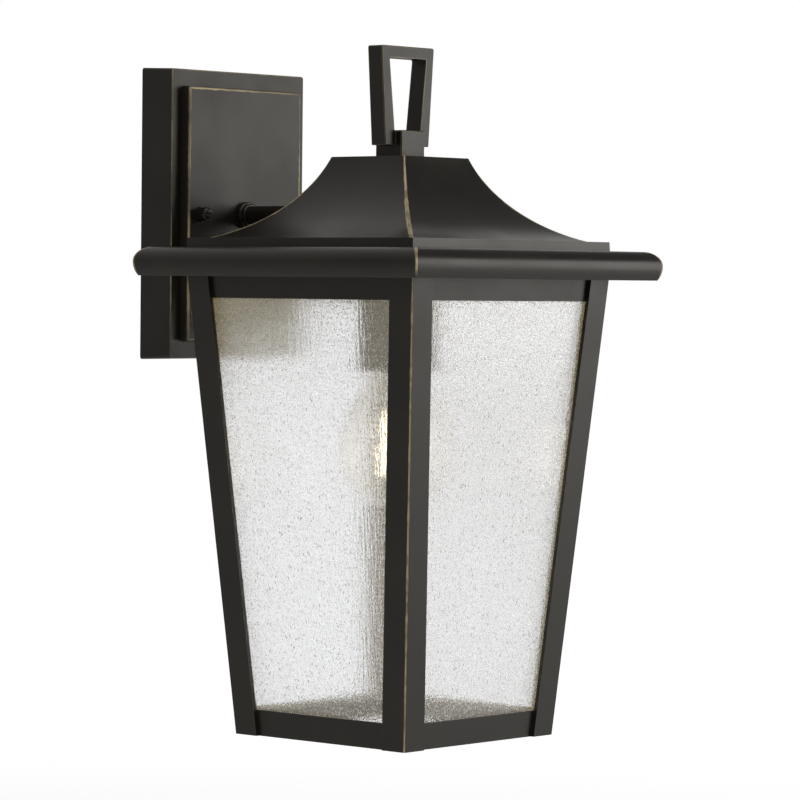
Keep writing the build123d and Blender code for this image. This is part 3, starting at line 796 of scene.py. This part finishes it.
def turned_skin(mesh, rows, steps, place, groove=sharp_groove, pitch=1.0, tube=False):
    """Adds a turned skin from rows of (radius, height, thread depth), as a tube or with flat ends."""
    rings = []
    for radius, height, depth in rows:
        ring = []
        for step in range(steps):
            share = step / steps
            reach = radius - depth * groove((height / pitch - share) % 1)
            angle = 2 * math.pi * share
            point = Vector((reach * math.cos(angle), reach * math.sin(angle), height))
            ring.append(mesh.verts.new(place @ point))
        rings.append(ring)
    if tube:
        rings.append(rings[0])
    else:
        mesh.faces.new(rings[0])
        mesh.faces.new(rings[-1])
    for ring, following in zip(rings, rings[1:]):
        for step in range(steps):
            mesh.faces.new((ring[step - 1], ring[step], following[step], following[step - 1]))


def add_piece(name, mesh, finish, body, *replaced):
    """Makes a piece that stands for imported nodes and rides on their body."""
    bmesh.ops.recalc_face_normals(mesh, faces=mesh.faces)
    data = bpy.data.meshes.new(name)
    mesh.to_mesh(data)
    mesh.free()
    data.shade_smooth()
    data.set_sharp_from_angle(angle=crease_angle)
    data.materials.append(finish)
    piece = bpy.data.objects.new(name, data)
    bpy.context.collection.objects.link(piece)
    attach(piece, body)
    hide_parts(*replaced)
    print("piece", name, "faces", len(data.polygons))
    return piece


def threaded_rows(radius, foot, top, depth, pitch, rows_per_turn, run_in, run_out):
    """Rows of a threaded stretch whose thread fades in and out at its ends."""
    count = math.ceil((top - foot) / pitch * rows_per_turn)
    rows = []
    for row in range(count + 1):
        height = foot + (top - foot) * row / count
        fade = min(1.0, (height - foot) / run_in, (top - height) / run_out)
        rows.append((radius, height, depth * max(0.0, fade)))
    return rows


print("skins crease at", round(math.degrees(crease_angle)), "degrees")

# %% [markdown]
# The two fixture screws stand out from the bar on the wall. Their heads sit on
# the wall side and have a groove for a screwdriver, which is cut with a boolean:
# moving the corners of the round head by hand would leave a ragged groove.

# %% Fixture screws
screw_pitch = 0.0008
screw_thread = 0.0004
screw_radius = 0.00208
screw_rows_per_turn = 6
screw_steps = 20
head_edge = 0.0003
slot_width = 0.0010
slot_depth = 0.0009

screws_low, screws_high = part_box("fixture_screws")
strap_low, strap_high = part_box("box_strap")
head_radius = (screws_high.z - screws_low.z) / 2
head_height = strap_high.y - strap_low.y
screw_length = screws_high.y - screws_low.y
screw_tip = screw_length - screw_thread
out_from_wall = Matrix.Rotation(math.pi / 2, 4, "X")
screw_rows = [
    (head_radius - head_edge, 0.0, 0.0),
    (head_radius, head_edge, 0.0),
    (head_radius, head_height, 0.0),
    (screw_radius, head_height, 0.0),
]
screw_rows += threaded_rows(
    screw_radius, head_height + screw_pitch, screw_tip, screw_thread, screw_pitch,
    screw_rows_per_turn, run_in=screw_pitch, run_out=screw_pitch,
)
screw_rows.append((screw_radius - screw_thread, screw_length, 0.0))

groove_length = 3 * head_radius
groove_size = Matrix.Diagonal((groove_length, slot_width, 2 * slot_depth, 1))
screws = bmesh.new()
grooves = bmesh.new()
for side in (-1, 1):
    stand = Matrix.Translation((side * (screws_high.x - head_radius), 0, 0)) @ out_from_wall
    turned_skin(screws, screw_rows, screw_steps, stand, sharp_groove, screw_pitch)
    bmesh.ops.create_cube(grooves, size=1.0, matrix=stand @ groove_size)
screw_piece = add_piece("threaded_fixture_screws", screws, zinc_steel, "lantern", "fixture_screws")
groove_mesh = bpy.data.meshes.new("screwdriver_grooves")
grooves.to_mesh(groove_mesh)
grooves.free()
cutter = bpy.data.objects.new("screwdriver_grooves", groove_mesh)
bpy.context.collection.objects.link(cutter)
cut = screw_piece.modifiers.new("screwdriver_groove", "BOOLEAN")
cut.object = cutter
cut_shape = screw_piece.evaluated_get(bpy.context.evaluated_depsgraph_get())
screw_piece.data = bpy.data.meshes.new_from_object(cut_shape)
screw_piece.modifiers.clear()
bpy.data.objects.remove(cutter)
print("grooved faces:", len(screw_piece.data.polygons))

# %% [markdown]
# The threaded pipe in the middle holds roof, bridge, cup and lamp holder together
# with lock nuts. It is a tube: the skin runs up outside and down inside.

# %% Centre rod
rod_pitch = 0.00094
rod_thread = 0.00045
rod_bore = 0.0032
rod_rows_per_turn = 4
rod_steps = 24

rod_low, rod_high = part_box("centre_rod")
rod_radius = (rod_high.x - rod_low.x) / 2
hang = Matrix.Translation(lantern_axis)
rod_rows = threaded_rows(
    rod_radius, rod_low.z, rod_high.z, rod_thread, rod_pitch,
    rod_rows_per_turn, run_in=rod_pitch, run_out=rod_pitch,
)
rod_rows += [(rod_bore, rod_high.z, 0.0), (rod_bore, rod_low.z, 0.0)]
rod = bmesh.new()
turned_skin(rod, rod_rows, rod_steps, hang, sharp_groove, rod_pitch, tube=True)
add_piece("threaded_centre_rod", rod, zinc_steel, "lantern", "centre_rod")

# %% [markdown]
# The bulb's cap is thin sheet with a coarse round thread rolled into it, so the
# thread shows inside too, and the same rows run back down as the inner skin. The
# thread fades out towards the glass, where the real one has a plain skirt.

# %% Bulb cap
cap_pitch = 0.00363
cap_thread = 0.0007
cap_sheet = 0.0004
cap_run_in = 0.006
cap_run_out = 0.002
cap_rows_per_turn = 12
cap_steps = 64

cap_low, cap_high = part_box("bulb_base")
cap_radius = (cap_high.x - cap_low.x) / 2
cap_rows = threaded_rows(
    cap_radius, cap_low.z, cap_high.z, cap_thread, cap_pitch,
    cap_rows_per_turn, run_in=cap_run_in, run_out=cap_run_out,
)
cap_inside = [(radius - cap_sheet, height, depth) for radius, height, depth in reversed(cap_rows)]
cap = bmesh.new()
turned_skin(cap, cap_rows + cap_inside, cap_steps, hang, round_groove, cap_pitch, tube=True)
add_piece("rolled_bulb_cap", cap, cap_metal, "bulb", "bulb_base")

# %% [markdown]
# The brass shell in the lamp holder takes the cap, so the same thread is rolled
# into it, only shallower. At its top the sheet turns in to a flange.

# %% Screw shell
shell_thread = 0.0004
shell_skin = 0.00015
shell_wall = 0.0006
shell_flange = 0.009

shell_low, shell_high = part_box("socket_shell")
shell_radius = (shell_high.x - shell_low.x) / 2
shell_roof = shell_high.z - shell_wall
shell_rows = threaded_rows(
    shell_radius - shell_skin, shell_low.z, shell_roof, shell_thread, cap_pitch,
    cap_rows_per_turn, run_in=cap_run_out, run_out=cap_run_out,
)
shell_rows += [
    (shell_flange, shell_roof, 0.0),
    (shell_flange, shell_high.z, 0.0),
    (shell_radius, shell_high.z, 0.0),
    (shell_radius, shell_low.z, 0.0),
]
shell = bmesh.new()
turned_skin(shell, shell_rows, cap_steps, hang, round_groove, cap_pitch, tube=True)
add_piece("rolled_screw_shell", shell, lamp_brass, "lantern", "socket_shell")

# %% [markdown]
# Inside the bulb four sticks hang from the glass stem on thin wires and are
# joined at their feet. The sticks glow and the wires are metal, so they are two
# pieces that stand for one node together.

# %% Glowing sticks and their wires
stick_count = 4
stick_radius = 0.0009
stick_top_ring = 0.0045
stick_steps = 16
wire_radius = 0.0004
wire_root_ring = 0.0016
wire_drop = 0.005
wire_grip = 0.001
wire_steps = 10

light_low, light_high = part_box("bulb_filament")
stem_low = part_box("bulb_mount")[0]
stick_foot_ring = (light_high.x - light_low.x) / 2 - stick_radius
stick_lift = stick_radius / 4
stick_foot = light_low.z + stick_lift
stick_top = stem_low.z - wire_drop


def rod_skin(mesh, start, end, radius, steps):
    """Adds a rod with rounded ends between two points."""
    along = end - start
    stand = Matrix.Translation(start) @ along.to_track_quat("Z", "Y").to_matrix().to_4x4()
    crown = radius / 2
    shoulder = along.length - crown
    rows = [(crown, 0.0, 0.0), (radius, crown, 0.0), (radius, shoulder, 0.0), (crown, along.length, 0.0)]
    turned_skin(mesh, rows, steps, stand)


def ring_point(outward, ring, height):
    """A point so far out from the lantern's axis, at a height."""
    return lantern_axis + ring * outward + Vector((0, 0, height))


sticks = bmesh.new()
wires = bmesh.new()
grip = Vector((0, 0, wire_grip))
joint = lantern_axis + Vector((0, 0, stick_foot + wire_grip))
for number in range(stick_count):
    outward = Matrix.Rotation(2 * math.pi * number / stick_count, 3, "Z") @ Vector((1, 0, 0))
    top = ring_point(outward, stick_top_ring, stick_top)
    foot = ring_point(outward, stick_foot_ring, stick_foot)
    root = ring_point(outward, wire_root_ring, stem_low.z)
    rod_skin(sticks, top, foot, stick_radius, stick_steps)
    rod_skin(wires, root, top - grip, wire_radius, wire_steps)
    rod_skin(wires, joint, foot + grip, wire_radius, wire_steps)
add_piece("glowing_sticks", sticks, glow_stick, "bulb", "bulb_filament")
add_piece("stick_wires", wires, cap_metal, "bulb", "bulb_filament")
